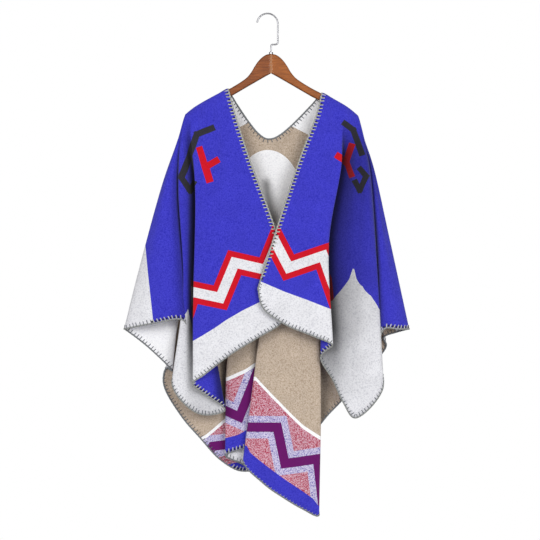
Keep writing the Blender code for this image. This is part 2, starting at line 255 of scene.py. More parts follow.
# Soft troughs and ridges: where each starts and ends, in folds across and spans down, and its
# half width and depth in millimetres. A negative depth is a ridge.
CREASES_FRONT_LEFT = (
    Crease(2.6, 0.6, 3.1, 2.7, 9.0, 2.2),
    Crease(4.3, 1.2, 4.2, 3.6, 8.0, 2.4),
    Crease(1.6, 1.6, 2.3, 3.7, 14.0, -2.0),
    Crease(3.4, 2.6, 3.2, 4.9, 12.0, 2.0),
    Crease(12.6, 1.8, 12.5, 3.9, 9.0, 2.6),
    Crease(13.4, 2.2, 13.3, 4.8, 10.0, -2.0),
    Crease(0.8, 0.3, 1.6, 1.7, 10.0, 1.6),
)
CREASES_FRONT_RIGHT = (
    Crease(2.4, 0.5, 2.9, 2.6, 9.0, 2.0),
    Crease(3.6, 1.5, 3.3, 3.8, 9.0, 2.4),
    Crease(1.4, 1.8, 1.8, 3.5, 13.0, -1.8),
    Crease(8.6, 2.0, 8.5, 4.8, 9.0, 2.6),
    Crease(9.5, 2.5, 9.4, 4.9, 8.0, -2.2),
    Crease(13.3, 2.2, 13.4, 4.6, 8.0, 2.0),
)
CREASES_BACK = (
    Crease(1.6, 1.8, 1.5, 4.7, 10.0, 2.4),
    Crease(5.2, 1.2, 5.6, 4.0, 13.0, -2.6),
    Crease(6.7, 1.4, 6.9, 4.6, 11.0, 2.6),
    Crease(8.6, 0.8, 9.6, 2.8, 12.0, 2.4),
    Crease(15.6, 3.4, 15.5, 4.9, 10.0, 2.0),
    Crease(16.8, 3.2, 17.2, 4.8, 9.0, -2.0),
    Crease(20.8, 0.8, 20.2, 3.2, 12.0, 2.6),
    Crease(22.5, 1.2, 22.3, 4.4, 12.0, -2.4),
    Crease(24.4, 1.6, 24.4, 4.5, 9.0, 2.2),
)

# Height of the pale border above the hem, by fold number
BORDERS = {
    "front_left": heights(
        (0, 60), (1, 75), (2, 79), (3, 82), (4, 90), (5, 92), (6, 96), (7, 100), (8, 150), (9, 226),
        (10, 152), (11, 90), (12, -20), (14, -20)),
    "front_right": heights(
        (0, 10), (1, 54), (2, 71), (3, 75), (4, 80), (5, 86), (6, 110), (7, 179), (7.5, 226),
        (8, 277), (8.25, 316), (8.5, 300), (9, 295), (9.25, 277), (9.5, 252), (10, 183), (11, 80),
        (12, -20), (14, -20)),
    "back": heights(
        (0, -20), (2, 20), (4, 120), (6, 110), (8, 80), (20, 80), (23, 120), (25, 20), (27, -20)),
}
# Upper edge of the pale border across each front panel, in the front view
PANEL_BORDERS = {
    "front_left": places(
        (-172, -737), (-143, -720), (-117, -704), (-91, -686), (-55, -665), (-20, -648), (6, -634),
        (60, -606)),
    "front_right": places((-40, -590), (-12, -602), (37, -623), (89, -642), (140, -662)),
}
PANEL_LAST_FOLD = {"front_left": 5.0, "front_right": 4.0}

# Corners of the front zigzags' middle lines in the front view, from the slit outwards, and the
# fold lines that the zigzags reach
FRONT_ZIGZAGS = {
    "front_left": places(
        (35, -481), (-3, -575), (-73, -559), (-105, -637), (-171, -623), (-197, -706)),
    "front_right": places((-12, -456), (47, -570), (123, -544), (152, -627)),
}
ZIGZAG_LAST_FOLD = {"front_left": 8.5, "front_right": 6.5}
BACK_ZIGZAG_FOLDS = (4.0, 24.0)

# The back's inner face in three layers: upper edge of the pale line, upper edge of the blue hem
# and corners of the purple zigzag, in the front view
INNER_LAYERS = (
    Layer("side", 0,
          places((-154, -958), (-138, -948), (-121, -934), (-95, -911), (-60, -880)),
          places((-110, -1040), (-91, -1017), (-63, -1012), (-46, -1025)),
          places((-60, -968), (-125, -976), (-133, -990), (-145, -1012))),
    Layer("strip", 9.5,
          places((-110, -826), (-91, -818), (-49, -799), (-27, -784)),
          places((-110, -959), (-95, -955), (-68, -948), (-43, -934), (-20, -922)),
          places((-118, -883), (-63, -907), (-36, -839), (-17, -789))),
    Layer("tail", 13.6,
          places((-26, -815), (-18, -824), (5, -848), (24, -867), (52, -896), (80, -923), (122, -951)),
          places((-46, -969), (-40, -983), (-29, -993), (2, -1017), (38, -1043), (72, -1066),
                 (102, -1088), (114, -1105)),
          places((-75, -928), (22, -927), (39, -1008), (112, -999), (121, -1080))),
)
INNER_LAST_FOLD = 19.0
PALE_LINE_WIDTH = 8.6

# The back's outer zigzag in four layers: where it starts and ends, how many runs it has, and how
# far each corner lies beside the straight line, the first corner on the side that swing's sign gives
BACK_BANDS = (
    Band("side", 0, Place(-162, -705), Place(15, -895), 4, -24.0),
    Band("strip", 9.5, Place(-110, -900), Place(20, -790), 3, -24.0),
    Band("tail", 13.6, Place(-60, -800), Place(135, -985), 4, -24.0),
    Band("right", 19.0, Place(70, -815), Place(224, -599), 4, -24.0),
)

# Painted shade in the deepest folds, by fold number
SHADES = {
    "front_left": (Shade(11.1, 0.7, 0.8), Shade(12.0, 0.3, 0.35)),
    "front_right": (Shade(11.2, 0.7, 0.85), Shade(7.5, 1.0, 0.5)),
}
# Painted shade of the dark valley beside each front panel: its side, then the half width, power and
# strength of its core, the half width of its wider shade, how much wider that is high up, the wider
# shade's strength, and the least of both that is left at the bottom
VALLEYS = {
    "front_left": Valley(-1, 15.0, 4, 0.76, 26.0, 0.0, 0.24, 0.2),
    "front_right": Valley(1, 20.0, 2, 0.36, 55.0, 40.0, 0.6, 0.0),
}
VALLEY_TOP = -235.0
VALLEY_TOP_FADE = 80.0
VALLEY_BOTTOM = -900.0
VALLEY_BOTTOM_FADE = 190.0
VALLEY_WIDENS_FROM = -760.0
VALLEY_WIDENING = 160.0

# Painted shadows on the back's inner face where another layer lies close in front
SHADOWS_BACK_INNER = (
    Shadow(-3, -378, 9, -462, 11, 0.66, 9, 19),
    Shadow(-101, -770, -101, -885, 9, 0.85, 0, 9.4),
    Shadow(129, -760, 127, -905, 19, 0.6, 18.5, 27),
    Shadow(-28, -725, -27, -800, 10, 0.55, 9.5, 13.6),
    Shadow(-205, -700, -208, -770, 9, 0.6, 2.6, 6),
)
# And painted shadows on the front's inner face, where it turns under
SHADOWS_FRONT_INNER = (
    Shadow(-112, -790, -103, -870, 13, 0.75, 0, 8),
)

Sheet = namedtuple("Sheet", "name folds yoke side creases")
SHEETS = (
    Sheet("front_left", FRONT_LEFT, YOKE_FRONT_LEFT, -1, CREASES_FRONT_LEFT),
    Sheet("front_right", FRONT_RIGHT, YOKE_FRONT_RIGHT, -1, CREASES_FRONT_RIGHT),
    Sheet("back", BACK, YOKE_BACK, 1, CREASES_BACK),
)


def shoulder_z(x):
    """Height of the cloth's ridge over the hanger arm."""
    out = abs(x - HANGER_CENTRE_X) - NECK_REACH
    tip = SHOULDER_END_CURVE * max(out - SHOULDER_END_FROM, 0.0) ** 2
    return SHOULDER_HEIGHT - SHOULDER_SLOPE * out - SHOULDER_CURVE * out * abs(out) - tip


def neckline_point(x):
    """The free edge at the back of the neck, a rounded V that sinks to the back."""
    away = abs(x - NECK_LOW_X)
    if x < NECK_LOW_X:
        slope, half_width = NECK_LEFT_SLOPE, NECK_LOW_X - NECK_LEFT
    else:
        slope, half_width = NECK_RIGHT_SLOPE, NECK_RIGHT - NECK_LOW_X
    rise = slope * (math.hypot(away, NECK_ROUNDING) - NECK_ROUNDING)
    depth = NECK_DEPTH * (1.0 - (away / half_width) ** NECK_SQUARENESS)
    return np.array((x, depth, NECK_LOW_Z + rise))


def is_on_neckline(x, side):
    return side > 0 and NECK_LEFT < x < NECK_RIGHT


def fold_line_controls(fold, yoke, side):
    """The places that one fold line passes, from its top down. side is -1 in front, 1 behind."""
    yoke_x = yoke.yoke_from + (fold.top - yoke.top_from) * yoke.spread
    if is_on_neckline(fold.top, side):
        top = neckline_point(fold.top)
        brow = top + (0.0, NECK_BROW_DEPTH, -BROW_DROP)
        brow[0] += (yoke_x - fold.top) * BROW_DROP / YOKE_DROP
        low_yoke = np.array((yoke_x, top[1] + NECK_YOKE_DEPTH, top[2] - YOKE_DROP))
    else:
        ridge = shoulder_z(fold.top)
        top = np.array((fold.top, side * SEAM_LIP, ridge))
        brow_x = fold.top + (yoke_x - fold.top) * BROW_SHARE
        brow = np.array((brow_x, side * BROW_DEPTH, ridge - BROW_DROP))
        low_yoke = np.array((yoke_x, side * YOKE_DEPTH, ridge - YOKE_DROP))
    points = [top, brow, low_yoke]
    points += [np.array(place, dtype=float) for place in (fold.high, fold.low, fold.hem)]
    if fold in (RIDGE_LEFT, RIDGE_RIGHT):
        for point in points:
            point[1] = side * SEAM_LIP
    return points


def smooth_curve(points, steps, before=None, after=None):
    """A smooth curve through the points, with steps[i] pieces between point i and the next."""
    points = [np.asarray(point, dtype=float) for point in points]
    before = 2 * points[0] - points[1] if before is None else before
    after = 2 * points[-1] - points[-2] if after is None else after
    chain = [before] + points + [after]
    spans = [max(np.linalg.norm(b - a), 1e-6) ** 0.5 for a, b in zip(chain, chain[1:])]
    tangents = []
    for i in range(1, len(chain) - 1):
        back, ahead = spans[i - 1], spans[i]
        slope_back = (chain[i] - chain[i - 1]) / back
        slope_ahead = (chain[i + 1] - chain[i]) / ahead
        tangents.append((slope_back * ahead + slope_ahead * back) / (back + ahead))
    curve = []
    for i, count in enumerate(steps):
        start, end, span = points[i], points[i + 1], spans[i + 1]
        for step in range(count):
            t = step / count
            curve.append((2 * t**3 - 3 * t**2 + 1) * start + (t**3 - 2 * t**2 + t) * span * tangents[i]
                         + (3 * t**2 - 2 * t**3) * end + (t**3 - t**2) * span * tangents[i + 1])
    curve.append(points[-1])
    return curve


def mirrored_in_depth(point):
    return point * (1.0, -1.0, 1.0)


def ridge_columns(sheet):
    """The end columns of a sheet that lie on a shoulder's ridge."""
    return [column for column in (0, -1) if sheet.folds[column] in (RIDGE_LEFT, RIDGE_RIGHT)]


def middle_surface(sheet):
    """The cloth's middle surface: an array of rows from the ridge to the hem, in millimetres."""
    lines = []
    for fold in sheet.folds:
        controls = fold_line_controls(fold, sheet.yoke, sheet.side)
        over_ridge = None if is_on_neckline(fold.top, sheet.side) else mirrored_in_depth(controls[1])
        lines.append(smooth_curve(controls, ROWS_PER_SPAN, before=over_ridge))
    on_ridge = ridge_columns(sheet)
    steps = [COLUMNS_PER_FOLD] * (len(sheet.folds) - 1)
    rows = []
    for row in zip(*lines):
        before = mirrored_in_depth(row[1]) if 0 in on_ridge else None
        after = mirrored_in_depth(row[-2]) if -1 in on_ridge else None
        rows.append(smooth_curve(row, steps, before, after))
    return np.array(rows)


def grid_normals(grid, side):
    """Unit normals that point to the outer face: the front of a front, the back of the back."""
    down = np.gradient(grid, axis=0)
    across = np.gradient(grid, axis=1)
    normals = np.cross(across, down)
    normals /= np.maximum(np.linalg.norm(normals, axis=2, keepdims=True), 1e-9)
    middle = normals[len(normals) // 3]
    if np.median(middle[:, 1]) * side < 0:
        normals = -normals
    return normals


def distance_to_crease(fold, span, crease):
    """How far along and how far beside a crease each grid point is, in folds and spans."""
    along = np.array((crease.fold_end - crease.fold, crease.span_end - crease.span))
    share = ((fold - crease.fold) * along[0] + (span - crease.span) * along[1]) / (along @ along)
    share = np.clip(share, 0.0, 1.0)
    return share, fold - crease.fold - share * along[0], span - crease.span - share * along[1]


def crease_offsets(grid, fold, span, creases):
    """Depth of the listed creases at each grid point, fading towards their ends."""
    width_of_fold = np.linalg.norm(np.gradient(grid, axis=1), axis=2) * COLUMNS_PER_FOLD
    length_of_span = np.linalg.norm(np.gradient(grid, axis=0), axis=2) / np.gradient(span, axis=0)
    depth = np.zeros(grid.shape[:2])
    for crease in creases:
        share, beside, beyond = distance_to_crease(fold, span, crease)
        away = np.hypot(beside * width_of_fold, beyond * length_of_span) / crease.width
        fade = np.sin(math.pi * np.clip(0.08 + 0.84 * share, 0.0, 1.0)) ** 0.8
        depth -= crease.depth * fade * np.exp(-away**2)
    return depth


def grid_parameters(columns):
    """Fold number and span number of every grid point."""
    spans = [i + np.arange(count) / count for i, count in enumerate(ROWS_PER_SPAN)]
    spans = np.concatenate(spans + [[len(ROWS_PER_SPAN)]])
    return np.meshgrid(np.arange(columns) / COLUMNS_PER_FOLD, spans)


def dressed_surface(sheet):
    """The middle surface with creases and a slight unevenness, its normals and fold numbers."""
    grid = middle_surface(sheet)
    fold, span = grid_parameters(grid.shape[1])
    depth = crease_offsets(grid, fold, span, sheet.creases)
    depth += UNEVENNESS * np.sin(fold * 2.9 + span * 1.7) * np.sin(span * 2.3 + 0.6 * fold)
    hold = np.clip((span - CREASE_FREE) / CREASE_FADE, 0.0, 1.0)
    for column in ridge_columns(sheet):
        hold = hold * np.clip(np.abs(fold - fold[0, column]) / CREASE_FADE, 0.0, 1.0)
    grid = grid + grid_normals(grid, sheet.side) * (depth * hold)[..., None]
    return grid, grid_normals(grid, sheet.side), fold


def heights_at(table, fold):
    return np.interp(fold, [row.fold for row in table], [row.height for row in table])


def height_up(grid):
    """How far up from the hem each point lies, along its fold line."""
    steps = np.linalg.norm(np.diff(grid, axis=0), axis=2)
    up = np.zeros(grid.shape[:2])
    up[:-1] = np.cumsum(steps[::-1], axis=0)[::-1]
    return up


def set_inputs(node, values):
    for name, value in values.items():
        node.inputs[name].default_value = value


class Maths:
    """Short forms for the arithmetic nodes of one material."""

    def __init__(self, tree):
        self.tree = tree

    def node(self, kind, **settings):
        made = self.tree.nodes.new(kind)
        for key, value in settings.items():
            setattr(made, key, value)
        return made

    def feed(self, socket, value):
        if isinstance(value, (int, float)):
            socket.default_value = value
        elif isinstance(value, tuple):
            socket.default_value = (*value, 1.0) if len(socket.default_value) == 4 else value
        else:
            self.tree.links.new(value, socket)

    def math(self, operation, a, b=0.0):
        made = self.node("ShaderNodeMath", operation=operation)
        self.feed(made.inputs[0], a)
        self.feed(made.inputs[1], b)
        return made.outputs[0]

    def add(self, a, b):
        return self.math("ADD", a, b)

    def subtract(self, a, b):
        return self.math("SUBTRACT", a, b)

    def times(self, a, b):
        return self.math("MULTIPLY", a, b)

    def below(self, a, b):
        return self.math("LESS_THAN", a, b)

    def above(self, a, b):
        return self.math("GREATER_THAN", a, b)

    def either(self, a, b):
        return self.math("MAXIMUM", a, b)

    def mix(self, share, first, second):
        made = self.node("ShaderNodeMix", data_type="RGBA")
        self.feed(made.inputs[0], share)
        self.feed(made.inputs[6], first)
        self.feed(made.inputs[7], second)
        return made.outputs[2]

    def parts(self, vector):
        made = self.node("ShaderNodeSeparateXYZ")
        self.feed(made.inputs[0], vector)
        return made.outputs

    def attribute(self, name):
        made = self.node("ShaderNodeAttribute", attribute_type="GEOMETRY", attribute_name=name)
        return made.outputs

    def position(self):
        return self.node("ShaderNodeTexCoord").outputs["Object"]

    def noise(self, place, scale, detail, roughness):
        made = self.node("ShaderNodeTexNoise")
        self.feed(made.inputs["Vector"], place)
        set_inputs(made, {"Scale": scale, "Detail": detail, "Roughness": roughness})
        return made.outputs["Fac"]

    def bump(self, height, strength, distance):
        made = self.node("ShaderNodeBump")
        self.feed(made.inputs["Height"], height)
        set_inputs(made, {"Strength": strength, "Distance": distance})
        return made.outputs["Normal"]

    def ramp(self, value, low, high):
        made = self.node("ShaderNodeMapRange", clamp=True)
        self.feed(made.inputs[0], value)
        made.inputs[1].default_value = low
        made.inputs[2].default_value = high
        return made.outputs[0]


def srgb(red, green, blue):
    """A colour given as it looks on a screen, 0 to 255, in the linear values that shaders take."""
    def linear(value):
        value /= 255.0
        return value / 12.92 if value <= 0.04045 else ((value + 0.055) / 1.055) ** 2.4
    return (linear(red), linear(green), linear(blue))


def material(name):
    """A new material, the arithmetic for its nodes, and its shader."""
    made = bpy.data.materials.new(name)
    made.use_nodes = True
    return made, Maths(made.node_tree), made.node_tree.nodes["Principled BSDF"]


# Each yarn's two colours, how fine their mottling is, where the second begins and how softly
BLUE = Yarn(srgb(38, 37, 168), srgb(64, 62, 196), 360.0, 0.46, 0.14)
WHITE = Yarn(srgb(228, 228, 232), srgb(178, 178, 187), 300.0, 0.62, 0.16)
# The inner face's white: the yarn's own white with painted light added, paler than the outer white so the
# shaded inside of the V and the cuffs looks lit
BRIGHTENED_INNER_WHITE = Yarn(srgb(250, 250, 252), srgb(220, 220, 226), 300.0, 0.62, 0.16)
RED = Yarn(srgb(212, 12, 36), srgb(184, 4, 26), 420.0, 0.5, 0.3)
BLACK = Yarn(srgb(36, 36, 42), srgb(52, 50, 60), 420.0, 0.5, 0.25)
TAN = Yarn(srgb(201, 184, 167), srgb(150, 130, 107), 360.0, 0.56, 0.15)
PINK = Yarn(srgb(164, 24, 62), srgb(214, 176, 190), 430.0, 0.5, 0.06)
LAVENDER = Yarn(srgb(100, 86, 170), srgb(210, 204, 226), 430.0, 0.47, 0.06)
DARK_EDGING = Yarn(srgb(60, 65, 76), srgb(120, 124, 130), 480.0, 0.5, 0.25)
LIGHT_EDGING = Yarn(srgb(214, 214, 202), srgb(160, 160, 150), 480.0, 0.5, 0.25)
PURPLE = srgb(100, 12, 98)
# Colour of the painted shadow spots between the pale stitches
STITCH_SHADOW = srgb(22, 20, 46)

# Each arm's wood and streak colours: the wood's own colour, with the right arm's made lighter as painted
# light because the right side is lit more
HANGER_ARMS = (
    Arm("left", -1, srgb(150, 82, 34), srgb(110, 56, 22)),
    Arm("right", 1, srgb(168, 96, 38), srgb(130, 70, 24)),
)
WOOD_PATCH = srgb(112, 60, 30)
# Colour of the painted shade on the arm's faces that turn up or down
WOOD_EDGE_SHADE = srgb(70, 30, 18)
WOOD_JOINT = srgb(214, 150, 84)
JOINT_HALF_WIDTH = 2.2
GRAIN_ANGLE = 27.0

# Half widths of the zigzags' colours, and heights of the front's inner stripes above the hem
FRONT_WHITE_HALF = 11.0
FRONT_RED_HALF = 24.0
PURPLE_HALF = 10.5
LAVENDER_HALF = 25.2
FRONT_INNER_BLUE = 95.0
FRONT_INNER_LINE = 160.0


def unit_run(a, b):
    """Length and direction of the line from one place to another."""
    length = math.hypot(b.x - a.x, b.z - a.z)
    return length, (b.x - a.x) / length, (b.z - a.z) / length


def zigzag_corners(band):
    """Corners of a zigzag line that swings to both sides of the line from start to end."""
    length, way_x, way_z = unit_run(band.start, band.end)
    corners = []
    for i in range(band.runs + 1):
        swing = -band.swing if i % 2 else band.swing
        along = length * i / band.runs
        corners.append(Place(band.start.x + way_x * along - way_z * swing,
                             band.start.z + way_z * along + way_x * swing))
    return corners


def zigzag_distance(m, x, z, corners):
    """Distance from a line through the corners, with mitred turns, in millimetres."""
    _, way_x, way_z = unit_run(corners[0], corners[-1])
    place = m.add(m.times(x, way_x), m.times(z, way_z))
    lines, runs, middles = [], [], []
    for a, b in zip(corners, corners[1:]):
        _, run_x, run_z = unit_run(a, b)
        lines.append(m.subtract(m.times(m.subtract(z, a.z), run_x), m.times(m.subtract(x, a.x), run_z)))
        runs.append((run_x, run_z))
        middles.append((a.x + b.x) / 2 * way_x + (a.z + b.z) / 2 * way_z)
    signed = None
    for i in range(1, len(lines)):
        turn = runs[i - 1][0] * runs[i][1] - runs[i - 1][1] * runs[i][0]
        joined = m.math("MINIMUM" if turn > 0 else "MAXIMUM", lines[i - 1], lines[i])
        if signed is None:
            signed = joined
        else:
            beyond = m.above(place, middles[i - 1])
            signed = m.add(signed, m.times(beyond, m.subtract(joined, signed)))
    return m.math("ABSOLUTE", signed)


def heather(m, place, yarn):
    """Two yarn colours mottled together."""
    noise = m.noise(place, yarn.scale, 3.0, 0.7)
    fleck = m.ramp(noise, yarn.share - yarn.contrast, yarn.share + yarn.contrast)
    return m.mix(fleck, yarn.first, yarn.second)


def finish_cloth(m, shader, place, colour):
    """Brushed nap: cloudy tone, painted shade in the deep folds, fine fuzz and a sheen."""
    black = (0.0, 0.0, 0.0)
    cloud = m.ramp(m.noise(place, 24.0, 3.0, 0.6), 0.3, 0.7)
    colour = m.mix(m.times(cloud, 0.10), colour, black)
    # Painted shade: the fold_shade attribute darkens the colour towards black
    shade = m.parts(m.attribute("fold_shade")["Vector"])[0]
    colour = m.mix(shade, colour, m.mix(0.97, colour, black))
    m.feed(shader.inputs["Base Color"], colour)
    set_inputs(shader, {"Roughness": 0.92, "Sheen Weight": 0.12, "Sheen Roughness": 0.6,
                        "Specular IOR Level": 0.12})
    fuzz = m.times(m.noise(place, 620.0, 3.0, 0.7), 0.7)
    lumps = m.times(m.noise(place, 130.0, 2.0, 0.5), 0.6)
    m.feed(shader.inputs["Normal"], m.bump(m.add(fuzz, lumps), 0.55, 0.0012))


# Bent bars on each shoulder: black hooks and red three-armed marks, in the front view
BLACK_STROKES = (
    Stroke(14.5, places((-118, -256), (-158, -272), (-174, -318), (-194, -372))),
    Stroke(13.0, places((-194, -366), (-174, -398), (-162, -376))),
    Stroke(13.5, places((168, -244), (192, -262), (212, -320))),
    Stroke(12.5, places((204, -346), (220, -366), (206, -398), (194, -374))),
)
RED_STROKES = (
    Stroke(15.0, places((-153, -300), (-139, -346), (-108, -328))),
    Stroke(17.0, places((-140, -340), (-128, -380))),
    Stroke(15.0, places((190, -292), (176, -334), (152, -318))),
    Stroke(13.0, places((176, -328), (190, -368))),
)
STROKE_OVERLAP = 0.4


def inside_strokes(m, x, z, strokes):
    """1 inside any of the bent bars, 0 outside."""
    found = 0.0
    for stroke in strokes:
        last = len(stroke.places) - 2
        overlap = stroke.width * STROKE_OVERLAP
        for i, (a, b) in enumerate(zip(stroke.places, stroke.places[1:])):
            length, run_x, run_z = unit_run(a, b)
            dx, dz = m.subtract(x, a.x), m.subtract(z, a.z)
            along = m.add(m.times(dx, run_x), m.times(dz, run_z))
            beside = m.subtract(m.times(dz, run_x), m.times(dx, run_z))
            before = 0.0 if i == 0 else overlap
            beyond = 0.0 if i == last else overlap
            inside = m.times(m.above(along, -before), m.below(along, length + beyond))
            inside = m.times(inside, m.below(m.math("ABSOLUTE", beside), stroke.width / 2))
            found = m.either(found, inside)
    return found


def outer_material(name, corners):
    """Blue face: pale border, red and white zigzag, shoulder marks."""
    made, m, shader = material(name)
    place = m.position()
    x, _, z = m.parts(m.attribute("rest_place")["Vector"])[:3]
    border, zigzag_room, red_turn = m.parts(m.attribute("cloth_area")["Vector"])[:3]
    white, red = heather(m, place, WHITE), heather(m, place, RED)
    away = zigzag_distance(m, x, z, corners)
    room = m.above(zigzag_room, 0.0)
    colour = heather(m, place, BLUE)
    colour = m.mix(inside_strokes(m, x, z, BLACK_STROKES), colour, heather(m, place, BLACK))
    colour = m.mix(inside_strokes(m, x, z, RED_STROKES), colour, red)
    colour = m.mix(m.times(room, m.below(away, FRONT_RED_HALF)), colour, red)
    colour = m.mix(m.times(room, m.below(away, FRONT_WHITE_HALF)), colour, white)
    colour = m.mix(m.above(red_turn, 0.0), colour, red)
    colour = m.mix(m.below(border, 0.0), colour, white)
    finish_cloth(m, shader, place, colour)
    return made


def inner_material(name, corners):
    """Tan face: blue hem, pink band with a purple zigzag, pale line, pale areas."""
    made, m, shader = material(name)
    place = m.position()
    x, _, z = m.parts(m.attribute("rest_place")["Vector"])[:3]
    below_line, below_blue, pale_area = m.parts(m.attribute("cloth_inner")["Vector"])[:3]
    # Painted light: the pale line and pale areas take the brightened white
    white = heather(m, place, BRIGHTENED_INNER_WHITE)
    pink_part = m.above(below_line, PALE_LINE_WIDTH)
    colour = m.mix(m.above(below_line, 0.0), heather(m, place, TAN), white)
    colour = m.mix(pink_part, colour, heather(m, place, PINK))
    if corners:
        away = zigzag_distance(m, x, z, corners)
        lavender = heather(m, place, LAVENDER)
        colour = m.mix(m.times(pink_part, m.below(away, LAVENDER_HALF)), colour, lavender)
        colour = m.mix(m.times(pink_part, m.below(away, PURPLE_HALF)), colour, PURPLE)
    colour = m.mix(m.above(below_blue, 0.0), colour, heather(m, place, BLUE))
    colour = m.mix(m.above(pale_area, 0.0), colour, white)
    finish_cloth(m, shader, place, colour)
    return made


# The pale part of the left sleeve: its straight edge in the front view, and the folds it is on
LEFT_WING_EDGE_X = -255.0
LEFT_WING_EDGE_Z = -690.0
LEFT_WING_EDGE_SLOPE = 0.11
LEFT_WING_FRONT_FOLD = 12.0
LEFT_WING_BACK_FOLD = 2.0

# Pale areas of the back's inner face: an oval, the corners beside the neck and both cuffs
MEDALLION_X = 1.0
MEDALLION_Z = -430.0
MEDALLION_HALF_WIDTH = 82.0
MEDALLION_HALF_HEIGHT = 127.0
PALE_CORNERS = (
    PaleCorner(-1, 0.0, -60.5, -249.8, 0.5),
    PaleCorner(1, 40.0, 56.0, -250.0, -0.5),
)
CUFF_FOLDS = (2.6, 26.0)

# Where the red band shows again on the layer under the right front panel, in the front view
RED_TURN_X = 149.0
RED_TURN_Z = -640.0
RED_TURN_TOP = -583.0
RED_TURN_LOW = -672.0
RED_TURN_SLOPE = 0.11
RED_TURN_FOLDS = (6.5, 9.5)


def line_height(table, x):
    return np.interp(x, [place.x for place in table], [place.z for place in table])


def valley_shade(sheet, grid, fold):
    """Painted shade: how dark each point is that lies deep between the front panel and the sleeve."""
    if sheet.side > 0:
        return np.zeros_like(fold)
    x, z = grid[..., 0], grid[..., 2]
    valley, last = VALLEYS[sheet.name], PANEL_LAST_FOLD[sheet.name]
    edge = grid[:, int(last * COLUMNS_PER_FOLD)]
    order = np.argsort(edge[:, 2])
    edge_x = np.interp(z, edge[order, 2], edge[order, 0])
    away = np.maximum((x - edge_x) * valley.side, 0.0)
    high = np.clip((z - VALLEY_WIDENS_FROM) / VALLEY_WIDENING, 0.0, 1.0)
    reach = valley.reach + valley.high_reach * high
    shade = valley.core_part * np.exp(-(away / valley.core) ** valley.power)
    shade += valley.reach_part * np.exp(-(away / reach) ** 2)
    shade = shade * (fold > last + 0.3)
    for row in SHADES[sheet.name]:
        shade = np.maximum(shade, row.strength * np.exp(-((fold - row.fold) / row.half_width) ** 2))
    top_fade = np.clip((VALLEY_TOP - z) / VALLEY_TOP_FADE, 0.0, 1.0)
    low_fade = np.clip((z - VALLEY_BOTTOM) / VALLEY_BOTTOM_FADE, valley.floor, 1.0)
    return shade * top_fade * low_fade


def shadow_shade(sheet, grid, fold):
    """Painted shadow: how dark each point of the inner face is, from the tables of painted shadows."""
    x, z = grid[..., 0], grid[..., 2]
    shade = np.zeros_like(fold)
    for row in SHADOWS_BACK_INNER if sheet.side > 0 else SHADOWS_FRONT_INNER:
        run_x, run_z = row.x_end - row.x, row.z_end - row.z
        share = ((x - row.x) * run_x + (z - row.z) * run_z) / (run_x**2 + run_z**2)
        share = np.clip(share, 0.0, 1.0)
        away = np.hypot(x - row.x - share * run_x, z - row.z - share * run_z) / row.width
        here = (fold >= row.first_fold) & (fold <= row.last_fold)
        shade = np.maximum(shade, row.strength * np.exp(-away**2) * here)
    return shade


def outer_areas(sheet, grid, fold, up):
    """Signed fields for the border, the zigzag's stretch and the turned red band."""
    x, z = grid[..., 0], grid[..., 2]
    border = up - heights_at(BORDERS[sheet.name], fold)
    if sheet.name != "front_right":
        wing = x - (LEFT_WING_EDGE_X - LEFT_WING_EDGE_SLOPE * (z - LEFT_WING_EDGE_Z))
        on_wing = fold < LEFT_WING_BACK_FOLD if sheet.side > 0 else fold > LEFT_WING_FRONT_FOLD
        border = np.where(on_wing, np.minimum(border, wing), border)
    if sheet.side > 0:
        room = np.minimum(fold - BACK_ZIGZAG_FOLDS[0], BACK_ZIGZAG_FOLDS[1] - fold)
    else:
        panel = z - line_height(PANEL_BORDERS[sheet.name], x)
        border = np.where(fold <= PANEL_LAST_FOLD[sheet.name], panel, border)
        room = ZIGZAG_LAST_FOLD[sheet.name] - fold
    red_turn = np.full_like(fold, -1.0)
    if sheet.name == "front_right":
        turned = RED_TURN_X - RED_TURN_SLOPE * np.abs(z - RED_TURN_Z) - x
        turned = np.minimum(turned, np.minimum(z - RED_TURN_LOW, RED_TURN_TOP - z))
        on_turn = (fold > RED_TURN_FOLDS[0]) & (fold < RED_TURN_FOLDS[1])
        red_turn = np.where(on_turn, turned, red_turn)
    return np.stack([border, room, red_turn], axis=2)


def inner_areas(sheet, grid, fold, up):
    """Signed fields for the inner face: below the pale line, below the blue edge, pale areas."""
    x, z = grid[..., 0], grid[..., 2]
    if sheet.side < 0:
        return np.stack([FRONT_INNER_LINE - up, FRONT_INNER_BLUE - up, np.full_like(fold, -1.0)], axis=2)
    below_line = np.full_like(fold, -50.0)
    below_blue = np.full_like(fold, -50.0)
    for layer in INNER_LAYERS:
        here = (fold >= layer.first_fold) & (fold <= INNER_LAST_FOLD)
        below_line = np.where(here, line_height(layer.line, x) - z, below_line)
        below_blue = np.where(here, line_height(layer.blue, x) - z, below_blue)
    pale = 1.0 - np.hypot((x - MEDALLION_X) / MEDALLION_HALF_WIDTH,
                          (z - MEDALLION_Z) / MEDALLION_HALF_HEIGHT)
    pale = np.maximum(pale, np.maximum(CUFF_FOLDS[0] - fold, fold - CUFF_FOLDS[1]))
    for corner in PALE_CORNERS:
        above = z - corner.z - corner.slope * (x - corner.x)
        pale = np.maximum(pale, np.minimum(corner.side * (x - corner.edge), above) / 100)
    return np.stack([below_line, below_blue, pale], axis=2)


def layer_number(sheet, fold, layers):
    """Which of the materials for one side of the cloth a face takes."""
    if sheet.side < 0:
        return 0
    return sum(fold >= layer.first_fold for layer in layers[1:])


